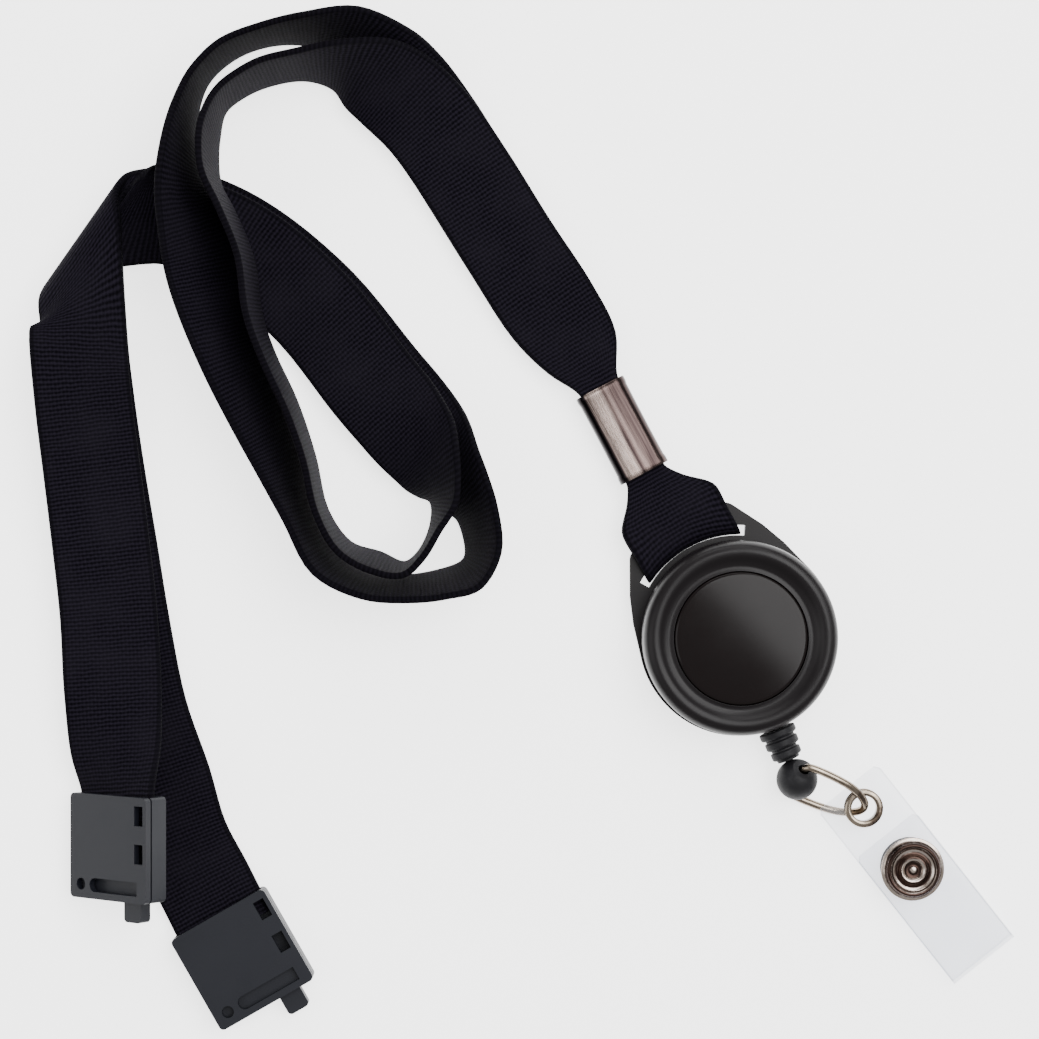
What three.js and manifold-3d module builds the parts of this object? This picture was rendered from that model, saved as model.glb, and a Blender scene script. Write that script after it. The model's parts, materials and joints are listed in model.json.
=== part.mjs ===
// Lanyard badge holder: a flat woven neck strap whose two ends carry breakaway clasps, a crimped
// strap loop, a retracting cord reel, and a vinyl badge clip with a snap on a wire bail.
// Millimetres, +Z up. The holder lies on a table at Z = 0 with its strap arranged in open curves.
import * as THREE from 'three';
import { mergeVertices } from 'three/addons/utils/BufferGeometryUtils.js';
import Module from 'manifold-3d';

const wasm = await Module();
wasm.setup();

// ---------------------------------------------------------------- driving dimensions
const GAP = 0.3;                       // clearance between neighbouring pieces
const STRAP = { width: 16, thick: 1.2, gathered: 7.2, gatherLength: 12 };

const CRIMP = { x: 17.0, y: 14.8, turn: -152.2, length: 16, width: 8.8, height: 5, wall: 0.5 };

const CLASP = { width: 17.6, length: 17.2, height: 4.6, lid: 1.1, wall: 0.5, bevel: 1.6 };
const CLASP_1 = { x: -65.9, y: -53.7, z: 7.5, turn: 0, roll: -38 };
const CLASP_2 = { x: -45.8, y: -72.7, z: 2.4, turn: 29.8, roll: 0 };

const REEL = { x: 36.15, y: -19.4, turn: 28.6, caseRadius: 16, top: 11.4 };
const REAR = { bossRadius: 14.4, bossHeight: 1.6, plateTop: 3.4, rimRadius: 16.4, cavity: 13.6, floor: 1.2 };
const EYE = { barInner: 18.5, barOuter: 20.8, slotHalf: 9.0, slotInner: 16.8 };
const LOOP = { barMiddle: 19.7, bendRadius: 17.6, bendLow: 18.6, bendHigh: 24, openFrom: 10.9,
  openLength: 7 };
const POST = { radius: 1.6, top: 8.1, slit: 0.7 };
const SPOOL = { flange: 12.8, drum: 8.8, drumWall: 0.8, bottom: 1.7, top: 6.1, drumTop: 7.4, web: 0.8,
  bore: 2.0 };
const CORD = { radius: 0.4, height: 3.9, woundInner: 9.1, woundOuter: 12.2, x: 36.0, y: -18.9,
  heading: -67.7 };
const SPRING = { inner: 2.5, outer: 7.3, turns: 6, thick: 0.25, bottom: 2.9, top: 6.7 };

const BOOT = { start: 17.4, length: 5.1, ribs: 3 };
const BALL = { reach: 26.0, radius: 3.4, flat: 2.8, bore: 0.95 };
const BAIL = { wire: 0.65, half: 3.9, tilt: 44, heading: -23.5, drop: 5, reach: 12.2 };

const CLIP = { width: 12.6, back: 32.3, head: 4.4, frontTop: 5.4, sheet: 0.5, space: 1.7 };
const CLIP_PLACE = { heading: -51.6, slope: 3.2 };
const EYELET = { bore: 2.1, flange: 3.2, wall: 0.3, lip: 0.25 };
const SNAP = { along: 12.5, flange: 5.25, dome: 4.45 };

// The box of the whole object is centred on the origin by this shift.
const SHIFT = new THREE.Vector3(-0.973, 0.582, 0);

// Route of each strand's middle line, from the crimp to its clasp: x, y, z and the roll of the
// tape about its travel, in degrees (0 flat, 90 on edge, 180 flat and face down). A fifth value
// marks a ruling of the fold: its heading along the fold line, and the fourth is then its rise.
const FOLD_LINE = 54;
const FOLD_STRETCH = 1.38;
const STRAND_1 = [
  [14.3, 20.0, 1.75, 0], [13.0, 22.4, 1.75, 0], [10.4, 27.6, 1.2, 0], [5.6, 34.4, 0.75, 0],
  [-1.6, 45.4, 0.75, 0], [-9.1, 57.4, 0.75, 0], [-14.9, 66.4, 1.1, 3], [-19.4, 72.4, 3.2, 20],
  [-23.3, 76.6, 6.0, 42], [-28.3, 79.7, 7.8, 64], [-35.2, 80.3, 8.3, 82], [-42.0, 79.3, 8.4, 88],
  [-48.0, 76.9, 8.4, 88], [-52.2, 72.9, 8.4, 88], [-54.2, 67.9, 9.0, 85], [-55.0, 60.8, 11.0, 76],
  [-55.1, 54.2, 12.3, 68], [-53.5, 47.8, 11.0, 54], [-51.6, 40.5, 9.8, 47], [-49.5, 33.0, 10.3, 52],
  [-46.4, 24.8, 10.2, 57], [-42.8, 17.0, 9.0, 60], [-39.5, 9.4, 7.9, 66], [-36.2, 0.6, 8.1, 77],
  [-31.8, -7.4, 8.2, 77], [-25.0, -11.0, 8.3, 79], [-18.0, -11.3, 8.3, 77], [-12.3, -10.5, 8.2, 75],
  [-7.9, -9.0, 8.1, 72], [-6.0, -5.3, 8.1, 70], [-6.9, 0.9, 7.9, 66], [-8.4, 4.1, 7.4, 59],
  [-10.2, 7.2, 6.6, 50], [-12.4, 10.3, 4.8, 34], [-15.0, 13.4, 3.2, 20], [-18.7, 17.9, 1.7, 8],
  [-23.4, 23.4, 0.75, 0], [-33.4, 35.6, 0.75, 0], [-44.4, 44.9, 0.75, 0],
  [-52.0, 49.0, 0.8, 1], [-59.2, 51.2, 3.4, 16], [-66.6, 49.2, 4.4, 14, FOLD_LINE],
  [-70.2, 48.4, 4.6, 10, FOLD_LINE],
  [-71.9, 46.6, 6.0, 6, FOLD_LINE], [-72.4, 44.2, 7.6, 3, FOLD_LINE],
  [-72.0, 41.0, 8.6, 0, FOLD_LINE], [-72.2, 31.0, 9.2, 200], [-71.6, 20.0, 7.7, 198],
  [-70.4, 8.0, 5.7, 194], [-69.0, -4.4, 4.9, 192], [-67.8, -16.0, 4.5, 190],
  [-67.1, -28.0, 4.9, 186], [-66.4, -38.0, 6.4, 164], [-65.9, -44.6, 7.4, 144],
  [-65.9, -49.2, 7.5, 142],
];
const STRAND_2 = [
  [14.3, 20.0, 3.25, 0], [13.0, 22.4, 3.25, 0], [10.4, 27.6, 2.7, 0], [5.6, 34.4, 2.25, 0],
  [-1.6, 45.4, 2.25, 0], [-9.1, 57.4, 2.25, 0], [-15.2, 66.0, 2.8, 3], [-20.6, 70.8, 5.0, 20],
  [-25.2, 73.2, 7.6, 44], [-30.2, 74.4, 8.6, 70], [-36.0, 74.4, 8.5, 82], [-41.6, 73.3, 8.4, 84],
  [-45.8, 71.3, 8.4, 86], [-48.8, 68.8, 8.7, 88], [-50.2, 65.0, 9.4, 86], [-50.8, 60.6, 10.8, 85],
  [-50.3, 55.6, 11.8, 86], [-47.8, 50.4, 11.9, 86], [-44.7, 42.6, 11.7, 86], [-43.4, 33.4, 11.5, 86],
  [-41.0, 26.4, 10.9, 86], [-37.4, 18.4, 9.4, 86], [-34.6, 10.0, 8.6, 87], [-32.6, 1.4, 8.4, 87],
  [-28.8, -4.6, 8.4, 84], [-23.6, -7.0, 8.4, 80], [-19.0, -8.2, 8.4, 84], [-16.2, -6.0, 8.4, 86],
  [-13.8, -1.6, 8.4, 84], [-12.4, 2.8, 8.3, 74], [-13.2, 5.4, 8.3, 62], [-14.4, 8.4, 8.0, 48],
  [-15.6, 11.2, 6.6, 34], [-17.9, 14.3, 5.3, 20], [-20.6, 17.8, 4.1, 8], [-24.6, 22.6, 2.9, 0],
  [-34.2, 34.8, 2.25, 0], [-45.0, 44.1, 2.25, 0], [-52.3, 47.9, 2.3, 1],
  [-59.4, 50.0, 4.9, 16], [-66.6, 49.1, 6.0, 14, FOLD_LINE], [-68.8, 47.3, 6.2, 10, FOLD_LINE],
  [-70.5, 45.6, 6.2, 6, FOLD_LINE], [-71.6, 43.5, 6.5, 3, FOLD_LINE],
  [-71.9, 41.0, 6.9, 0, FOLD_LINE], [-72.3, 31.0, 7.3, 200], [-71.4, 20.0, 5.6, 198],
  [-70.0, 8.0, 3.6, 194], [-68.0, -5.0, 2.6, 190], [-66.0, -18.0, 1.6, 184],
  [-63.2, -32.0, 0.8, 180], [-59.2, -43.6, 0.75, 180], [-56.4, -53.0, 0.75, 180],
  [-52.4, -60.6, 1.2, 180], [-48.3, -68.4, 2.4, 180],
];
// The strap loop hangs from the crimp, runs over the eye's bar, down its slot and back underneath:
// distance above the bar's middle, and height.
const LOOP_ALONG = [
  [12.2, 3.25], [10.9, 3.25], [8.2, 3.8], [4.6, 4.5], [1.2, 4.7], [-1.3, 4.3], [-2.2, 2.8],
  [-1.5, 1.0], [0.8, 0.8], [4.6, 0.8], [8.2, 1.3], [10.9, 1.75], [12.2, 1.75],
];

// ---------------------------------------------------------------- materials
const material = (color, roughness, metalness = 0) =>
  new THREE.MeshStandardMaterial({ color, roughness, metalness });
const finish = {
  weave: () => material(0x16141d, 0.95),
  darkMetal: () => material(0x4a3f3d, 0.28, 1),
  claspPlastic: () => material(0x2b2d36, 0.5),
  casePlastic: () => material(0x151113, 0.38),
  glossPlastic: () => material(0x1d1718, 0.16),
  innerPlastic: () => material(0xe6e2d8, 0.5),
  spring: () => material(0x8f9296, 0.3, 1),
  thread: () => material(0x131313, 0.8),
  rubber: () => material(0x101013, 0.75),
  nickel: () => material(0x8c7f70, 0.25, 1),
  vinyl: () => material(0xe9ecf2, 0.2),
};

// ---------------------------------------------------------------- geometry helpers
const rad = THREE.MathUtils.degToRad;

/** Merges a geometry's shared corners, so that only its positions and faces are left. */
function weld(geometry) {
  const bare = geometry.clone();
  bare.deleteAttribute('normal');
  bare.deleteAttribute('uv');
  return mergeVertices(bare, 1e-4);
}

function toSolid(geometry) {
  const closed = weld(geometry);
  return new wasm.Manifold(new wasm.Mesh({
    numProp: 3,
    vertProperties: new Float32Array(closed.attributes.position.array),
    triVerts: new Uint32Array(closed.index.array),
  }));
}

function toGeometry(solid) {
  const result = solid.getMesh();
  const geometry = new THREE.BufferGeometry();
  geometry.setAttribute('position', new THREE.BufferAttribute(result.vertProperties, 3));
  geometry.setIndex(new THREE.BufferAttribute(result.triVerts, 1));
  return geometry;
}

/** A box given by its centre. */
function box(width, depth, height, x = 0, y = 0, z = 0) {
  return toSolid(new THREE.BoxGeometry(width, depth, height).translate(x, y, z));
}

/** A round bar along Z between two heights. */
function bar(radius, low, high, x = 0, y = 0, sides = 24) {
  const geometry = new THREE.CylinderGeometry(radius, radius, high - low, sides);
  return toSolid(geometry.rotateX(Math.PI / 2).translate(x, y, (low + high) / 2));
}

/** A turned ring or disc about Z, from (radius, height) pairs. */
function turned(pairs, sides = 48) {
  const points = pairs.map(([radius, height]) => new THREE.Vector2(radius, height));
  const closed = points[0].x > 0 || points[points.length - 1].x > 0;
  if (closed) points.push(points[0].clone());
  return new THREE.LatheGeometry(points, sides).rotateX(Math.PI / 2);
}

/** A flat outline raised between two heights. */
function raised(shape, low, high, curveSegments = 16) {
  const depth = high - low;
  const geometry = new THREE.ExtrudeGeometry(shape, { depth, bevelEnabled: false, curveSegments });
  return toSolid(geometry.translate(0, 0, low));
}

function roundedRectangle(width, length, corner) {
  const shape = new THREE.Shape();
  const [x, y] = [width / 2, length / 2];
  shape.moveTo(-x + corner, -y);
  shape.absarc(x - corner, -y + corner, corner, -Math.PI / 2, 0);
  shape.absarc(x - corner, y - corner, corner, 0, Math.PI / 2);
  shape.absarc(-x + corner, y - corner, corner, Math.PI / 2, Math.PI);
  shape.absarc(-x + corner, -y + corner, corner, Math.PI, 1.5 * Math.PI);
  return shape;
}

function part(name, geometry, look) {
  const shape = geometry.isBufferGeometry ? geometry : toGeometry(geometry);
  const mesh = new THREE.Mesh(shape, look);
  mesh.name = name;
  return mesh;
}

// ---------------------------------------------------------------- strap
/** A path swept station by station, with the tape's own width and face directions. */
class TapePath extends THREE.CurvePath {
  constructor(points, acrosses) {
    super();
    this.points = points;
    this.acrosses = acrosses;
  }

  getSpacedPoints() {
    return this.points;
  }

  computeFrenetFrames() {
    const tangents = this.points.map((point, i) => {
      const before = this.points[Math.max(i - 1, 0)];
      const after = this.points[Math.min(i + 1, this.points.length - 1)];
      return after.clone().sub(before).normalize();
    });
    const normals = this.acrosses;
    const binormals = tangents.map((tangent, i) => tangent.clone().cross(normals[i]).normalize());
    return { tangents, normals, binormals };
  }
}

/** The tape's flat section, with its long side across and each face in a number of columns. */
function tapeSection(thick, columns) {
  const [x, y, cut] = [0.5, thick / 2, thick / 4];
  const side = cut / STRAP.width;
  const face = [];
  for (let i = 0; i <= columns; i += 1) face.push([(x - side) * (2 * i / columns - 1), -y]);
  const half = [...face, [x, -y + cut], [x, y - cut]];
  const corners = [...half, ...face.map(([u, v]) => [-u, -v]), [-x, y - cut], [-x, -y + cut]];
  return new THREE.Shape(corners.map(([u, v]) => new THREE.Vector2(u, v)));
}

/** Width of the tape at a distance from the crimp's mouth, where it is gathered. */
function gatheredWidth(distance) {
  const open = THREE.MathUtils.smoothstep(distance, 3, STRAP.gatherLength);
  return THREE.MathUtils.lerp(STRAP.gathered, STRAP.width, open);
}

function sweep(points, acrosses, thick, columns = 1) {
  const extrudePath = new TapePath(points, acrosses);
  return new THREE.ExtrudeGeometry(tapeSection(thick, columns), {
    steps: points.length - 1, bevelEnabled: false, extrudePath,
  });
}

/** Directions across the tape for a list of stations, each as long as the tape is wide there. */
function acrossStations(stations) {
  const points = stations.map(([x, y, z]) => new THREE.Vector3(x, y, z));
  const mouth = points[0];
  return points.map((point, i) => {
    const [, , , roll, foldLine] = stations[i];
    if (foldLine !== undefined) {
      const flat = new THREE.Vector3(Math.cos(rad(foldLine)), Math.sin(rad(foldLine)), 0);
      return flat.setZ(Math.tan(rad(roll))).setLength(STRAP.width * FOLD_STRETCH);
    }
    const before = points[Math.max(i - 1, 0)];
    const after = points[Math.min(i + 1, points.length - 1)];
    const travel = after.clone().sub(before).normalize();
    const right = new THREE.Vector3(travel.y, -travel.x, 0).normalize();
    const up = right.clone().cross(travel);
    const across = right.multiplyScalar(Math.cos(rad(roll))).addScaledVector(up, Math.sin(rad(roll)));
    return across.multiplyScalar(gatheredWidth(point.distanceTo(mouth)));
  });
}

function strand(name, stations) {
  const points = stations.map(([x, y, z]) => new THREE.Vector3(x, y, z));
  return part(name, weld(sweep(points, acrossStations(stations), STRAP.thick)), finish.weave());
}

/** The loop, in the reel's own frame. Near the bar it bends round with the slot. */
function strapLoop() {
  const { barMiddle, bendRadius, bendLow, bendHigh, openFrom, openLength } = LOOP;
  const points = LOOP_ALONG.map(([along, height]) => {
    const aside = -0.55 * THREE.MathUtils.smoothstep(along, 4, openFrom);
    return new THREE.Vector3(aside, barMiddle + along, height);
  });
  const across = points.map((point) => {
    const spread = THREE.MathUtils.smoothstep(barMiddle + openFrom - point.y, 0, openLength);
    return new THREE.Vector3(THREE.MathUtils.lerp(STRAP.gathered, STRAP.width + 0.4, spread), 0, 0);
  });
  const geometry = weld(sweep(points, across, STRAP.thick, 6));
  const place = geometry.attributes.position;
  for (let i = 0; i < place.count; i += 1) {
    const [x, y] = [place.getX(i), place.getY(i)];
    const bend = 1 - THREE.MathUtils.smoothstep(y, bendLow, bendHigh);
    place.setY(i, y - bend * (bendRadius - Math.sqrt(bendRadius ** 2 - x ** 2)));
  }
  return part('strap_loop', geometry, finish.weave());
}

function crimpSleeve() {
  const { length, width, height, wall } = CRIMP;
  const outer = roundedRectangle(width, height, height * 0.44);
  const inner = roundedRectangle(width - 2 * wall, height - 2 * wall, (height - 2 * wall) * 0.4);
  outer.holes.push(inner);
  const geometry = new THREE.ExtrudeGeometry(outer, { depth: length, bevelEnabled: false, curveSegments: 5 });
  geometry.rotateX(Math.PI / 2).translate(0, length / 2, height / 2);
  const sleeve = part('crimp_sleeve', weld(geometry), finish.darkMetal());
  sleeve.position.set(CRIMP.x, CRIMP.y, 0);
  sleeve.rotation.z = rad(CRIMP.turn);
  return sleeve;
}

// ---------------------------------------------------------------- breakaway clasps
/** The lower half of a clasp: a tray with the strap's mouth, and the tongue that locks its twin. */
function claspBase() {
  const { width, length, height, lid, wall } = CLASP;
  const top = height / 2 - lid - GAP;
  const low = -height / 2;
  const outline = roundedRectangle(width, length, 0.8);
  const tray = raised(outline, low, top, 4)
    .subtract(box(width - 2 * wall, 10.4, 1.9, 0, 2.6, top - 0.9))
    .subtract(box(width - 2 * wall, 4, 2.6, 0, length / 2, 0.1))
    .subtract(box(12.4, 3.4, 1.7, 0.9, -length / 2 + 1.2, -0.1));
  const tongue = raised(roundedRectangle(3.8, 5.6, 0.7), low + 0.6, top - 0.4, 4)
    .translate([3.9, -length / 2 - 0.7, 0]);
  return tray.add(tongue);
}

/** The upper half: a lid with two latch windows, a long slot and a gate mark hole. */
function claspLid() {
  const { width, length, height, lid, bevel } = CLASP;
  const [low, high] = [height / 2 - lid, height / 2];
  const slot = new THREE.Shape();
  slot.absarc(-3.1, 0, 1.15, Math.PI / 2, 1.5 * Math.PI);
  slot.lineTo(6.7, -1.15);
  slot.lineTo(6.7, 1.15);
  let plate = raised(roundedRectangle(width, length, 0.8), low, high, 4)
    .subtract(raised(slot, low - 1, high + 1, 6).translate([0, -length / 2 + 2.3, 0]))
    .subtract(bar(1.0, low - 1, high + 1, -6.3, -length / 2 + 2.3, 16));
  for (const along of [5.6, -0.6]) {
    plate = plate.subtract(box(1.9, 3.2, 4, width / 2 - 1.7, along, high));
  }
  const wedge = new THREE.BoxGeometry(width + 2, 3, 3).rotateX(rad(-28));
  return plate.subtract(toSolid(wedge.translate(0, length / 2 + 0.55, high + bevel - 0.2)));
}

function clasp(number, place) {
  const group = new THREE.Group();
  group.position.set(place.x, place.y, place.z);
  group.rotation.set(0, rad(place.roll), rad(place.turn), 'ZYX');
  group.add(part(`clasp_${number}_base`, claspBase(), finish.claspPlastic()));
  group.add(part(`clasp_${number}_cover`, claspLid(), finish.claspPlastic()));
  return group;
}

// ---------------------------------------------------------------- reel
/** Outline of the rear plate: round below, drawn in above to the strap eye's straight outer bar. */
function eyeOutline() {
  const shape = new THREE.Shape();
  const start = rad(18);
  shape.absarc(0, 0, REAR.rimRadius, Math.PI - start, 2 * Math.PI + start);
  const side = [[14.2, 10.1], [12.5, 14.4], [9.7, 19.6]];
  const top = EYE.barOuter;
  for (const [x, y] of side) shape.lineTo(x, y);
  shape.quadraticCurveTo(9.0, top, 7.8, top);
  shape.lineTo(-7.8, top);
  shape.quadraticCurveTo(-9.0, top, -9.7, 19.6);
  for (const [x, y] of side.reverse().slice(1)) shape.lineTo(-x, y);
  return shape;
}

/** The strap slot, curved round the case between two radii. */
function slotOutline() {
  const shape = new THREE.Shape();
  const half = Math.asin(EYE.slotHalf / EYE.slotInner);
  shape.absarc(0, 0, EYE.slotInner, Math.PI / 2 + half, Math.PI / 2 - half, true);
  shape.absarc(0, 0, EYE.barInner, Math.PI / 2 - half, Math.PI / 2 + half, false);
  return shape;
}

function rearCase() {
  const { bossRadius, bossHeight, plateTop, cavity, floor } = REAR;
  const plate = raised(eyeOutline(), bossHeight, plateTop, 24);
  const slit = box(POST.slit, 2 * POST.radius + 2, 4.6, 0, 0, POST.top - 1.9);
  const screen = bar(2.9, 0.4, floor + 0.01, 0, 0, 24);
  return plate.add(bar(bossRadius, 0, bossHeight + 0.2, 0, 0, 48))
    .subtract(bar(cavity, floor, plateTop + 1, 0, 0, 48))
    .subtract(raised(slotOutline(), 0, plateTop + 1, 12))
    .add(bar(POST.radius, floor - 0.2, POST.top, 0, 0, 20).subtract(slit))
    .subtract(screen.subtract(bar(2.2, 0, 2, 0, 0, 24)));
}

/** The front cover: a skirt, a rounded rim, a dished ring and the seat of the face disc. */
function frontCase() {
  const { caseRadius: r, top } = REEL;
  const low = REAR.plateTop + GAP;
  const profile = [
    [r - 1.3, low], [r - 0.2, low], [r, low + 0.4], [r, top - 2.2], [r - 0.25, top - 1.1],
    [r - 0.8, top - 0.35], [r - 1.7, top], [r - 2.5, top - 0.15], [r - 3.3, top - 0.65],
    [r - 4.2, top - 0.9], [11.5, top - 0.75], [11.3, top - 0.35], [10.95, top - 0.35],
    [10.95, top - 1.9], [0.8, top - 1.9], [0.8, top - 2.9], [12.4, top - 2.9], [r - 1.3, top - 3.4],
  ];
  const angle = rad(CORD.heading - REEL.turn);
  const notch = new THREE.BoxGeometry(6, 1.9, 2.4).translate(r, 0, CORD.height + 0.1).rotateZ(angle);
  return toSolid(turned(profile, 56)).subtract(toSolid(notch));
}

function faceDisc() {
  const low = REEL.top - 1.6;
  return weld(turned([[0, low], [10.6, low], [10.6, low + 0.9], [10.2, low + 1.15], [9.6, low + 1.3],
    [0, low + 1.3]], 48));
}

function spool() {
  const { flange, drum, drumWall, bottom, top, drumTop, web, bore } = SPOOL;
  return toSolid(turned([
    [bore, bottom], [flange, bottom], [flange, bottom + web], [drum, bottom + web], [drum, top - web],
    [flange, top - web], [flange, top], [drum, top], [drum, drumTop], [drum - drumWall, drumTop],
    [drum - drumWall, bottom + web], [bore, bottom + web],
  ], 40));
}

/** The spiral power spring, from the post's slit out to the drum. */
function powerSpring() {
  const steps = 14 * SPRING.turns;
  const shape = new THREE.Shape();
  const edge = (offset, i) => {
    const share = i / steps;
    const radius = THREE.MathUtils.lerp(SPRING.inner, SPRING.outer, share) + offset;
    const angle = share * SPRING.turns * 2 * Math.PI;
    return [radius * Math.cos(angle), radius * Math.sin(angle)];
  };
  shape.moveTo(...edge(0, 0));
  for (let i = 1; i <= steps; i += 1) shape.lineTo(...edge(0, i));
  for (let i = steps; i >= 0; i -= 1) shape.lineTo(...edge(SPRING.thick, i));
  return raised(shape, SPRING.bottom, SPRING.top, 1);
}

function woundCord() {
  const half = 1.1;
  return weld(turned([
    [CORD.woundInner, CORD.height - half], [CORD.woundOuter - 0.4, CORD.height - half],
    [CORD.woundOuter, CORD.height], [CORD.woundOuter - 0.4, CORD.height + half],
    [CORD.woundInner, CORD.height + half],
  ], 40));
}

// ---------------------------------------------------------------- cord end, bail and clip
/** The ribbed rubber boot on the cord's end, along +X from the case. */
function strainRelief() {
  const { start, length, ribs } = BOOT;
  const pitch = length / ribs;
  const profile = [[0.75, start]];
  for (let i = 0; i < ribs; i += 1) {
    const rib = 3.1 - 0.28 * i;
    const foot = start + i * pitch;
    profile.push([rib, foot], [rib, foot + 0.55 * pitch], [rib - 0.9, foot + 0.7 * pitch]);
    if (i < ribs - 1) profile.push([rib - 0.9, foot + pitch - 0.01]);
  }
  profile.push([1.5, start + length - 0.3], [0.75, start + length - 0.3]);
  return weld(turned(profile, 20).rotateY(Math.PI / 2));
}

function cordEnd() {
  const geometry = new THREE.CylinderGeometry(CORD.radius, CORD.radius, BALL.reach - 16.4 - 1.2, 8);
  return weld(geometry.rotateZ(-Math.PI / 2).translate((16.4 + BALL.reach - 1.2) / 2, 0, 0));
}

/** The stopper ball, with flats where the bail's cross-hole comes out. */
function stopperBall(acrossAngle) {
  const { radius, flat, bore, reach } = BALL;
  const slab = box(4 * radius, 2 * flat, 4 * radius);
  const hole = toSolid(new THREE.CylinderGeometry(bore, bore, 4 * radius, 14));
  const cordBore = toSolid(new THREE.CylinderGeometry(0.75, 0.75, 2 * radius, 10)
    .rotateZ(Math.PI / 2).translate(-radius, 0, 0).applyMatrix4(
      new THREE.Matrix4().makeRotationFromQuaternion(acrossAngle.clone().invert())));
  const ball = toSolid(new THREE.SphereGeometry(radius, 20, 12));
  return toGeometry(ball.intersect(slab).subtract(hole).subtract(cordBore))
    .applyQuaternion(acrossAngle).translate(reach, 0, 0);
}

/** Half turns of wire: a long loop whose two ends meet inside the ball. Local X runs to the clip. */
function bailLoop() {
  const { half, reach, wire } = BAIL;
  const corner = 1.2;
  const split = 0.25;
  const route = [[0, split], [0, half - corner], [0.35, half - 0.35], [corner, half],
    [reach * 0.45, half], [reach * 0.7, half * 0.86], [reach * 0.87, half * 0.6],
    [reach * 0.97, half * 0.3], [reach, 0]];
  const mirrored = route.slice(0, -1).reverse().map(([x, y]) => [x, -y]);
  const points = [...route, ...mirrored].map(([x, y]) => new THREE.Vector3(x, y, 0));
  const curve = new THREE.CatmullRomCurve3(points, false, 'centripetal');
  const section = new THREE.Shape().absarc(0, 0, wire, 0, 2 * Math.PI);
  return weld(new THREE.ExtrudeGeometry(section, {
    steps: 44, bevelEnabled: false, extrudePath: curve, curveSegments: 4,
  }));
}

/** One leg of the clip's folded strip, between two distances from the eyelet. */
function clipLeg(start, end, low, hole) {
  const length = end - start;
  const outline = roundedRectangle(CLIP.width, length, 0.5);
  const leg = raised(outline, low, low + CLIP.sheet, 3).translate([0, -(start + end) / 2, 0]);
  return hole ? leg.subtract(bar(EYELET.bore + EYELET.wall + GAP, low - 1, low + 2, 0, 0, 24)) : leg;
}

function eyelet() {
  const { bore, flange, wall, lip } = EYELET;
  const reach = CLIP.sheet / 2 + GAP;
  return weld(turned([
    [bore, -reach - lip], [flange, -reach - lip], [flange, -reach], [bore + wall, -reach],
    [bore + wall, reach], [flange, reach], [flange, reach + lip], [bore, reach + lip],
  ], 24));
}

function snapPieces() {
  const back = CLIP.sheet / 2;
  const front = back + CLIP.space;
  const lid = front + CLIP.sheet;
  const { flange, dome } = SNAP;
  const cap = turned([[0, lid + 0.15], [flange, lid + 0.15], [flange, lid + 0.45], [dome, lid + 0.6],
    [dome, lid + 1.5], [3.9, lid + 1.7], [3.4, lid + 1.2], [2.5, lid + 1.1], [2.1, lid + 1.5],
    [1.5, lid + 1.5], [1.2, lid + 1.0], [0, lid + 1.0]], 32);
  const socket = turned([[2.4, back + 0.85], [4.2, back + 0.85], [4.2, front - 0.15],
    [2.4, front - 0.15]], 24);
  const stud = turned([[0, back + 0.15], [4.2, back + 0.15], [4.2, back + 0.5], [1.9, back + 0.5],
    [2.0, back + 1.2], [1.5, back + 1.45], [0, back + 1.45]], 24);
  const post = turned([[0, -back - 0.6], [flange - 0.6, -back - 0.6], [flange - 0.3, -back - 0.15],
    [0, -back - 0.15]], 24);
  return { snap_cap: cap, snap_socket: socket, snap_stud: stud, snap_post: post };
}

// ---------------------------------------------------------------- assembly
const holder = new THREE.Group();
holder.position.copy(SHIFT);

holder.add(strand('strap_strand_1', STRAND_1), strand('strap_strand_2', STRAND_2), crimpSleeve());
holder.add(clasp(1, CLASP_1), clasp(2, CLASP_2));

const reel = new THREE.Group();
reel.position.set(REEL.x, REEL.y, 0);
reel.rotation.z = rad(REEL.turn);
reel.add(part('rear_case', rearCase(), finish.casePlastic()));
reel.add(part('front_case', frontCase(), finish.casePlastic()));
reel.add(part('face_disc', faceDisc(), finish.glossPlastic()));
reel.add(part('spool', spool(), finish.innerPlastic()));
reel.add(part('power_spring', powerSpring(), finish.spring()));
reel.add(part('wound_cord', woundCord(), finish.thread()));
reel.add(strapLoop());
holder.add(reel);

const cordLine = new THREE.Group();
cordLine.position.set(CORD.x, CORD.y, CORD.height);
cordLine.rotation.z = rad(CORD.heading);
cordLine.add(part('strain_relief', strainRelief(), finish.rubber()));
cordLine.add(part('cord_end', cordEnd(), finish.thread()));

// The bail's plane is tilted about its long axis, so that one side passes over the clip and the
// other under it, and its long axis drops towards the clip.
const bailTurn = new THREE.Quaternion().setFromEuler(new THREE.Euler(
  rad(BAIL.tilt), rad(BAIL.drop), rad(BAIL.heading), 'ZYX'));
const cordTurn = new THREE.Quaternion().setFromAxisAngle(
  new THREE.Vector3(0, 0, 1), rad(CORD.heading));
cordLine.add(part('stopper_ball', stopperBall(cordTurn.clone().invert().multiply(bailTurn)),
  finish.rubber()));
holder.add(cordLine);

const ballCentre = new THREE.Vector3(BALL.reach, 0, 0).applyQuaternion(cordTurn)
  .add(new THREE.Vector3(CORD.x, CORD.y, CORD.height));
const bail = new THREE.Group();
bail.position.copy(ballCentre);
bail.quaternion.copy(bailTurn);
bail.add(part('wire_bail', bailLoop(), finish.nickel()));
holder.add(bail);

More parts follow.
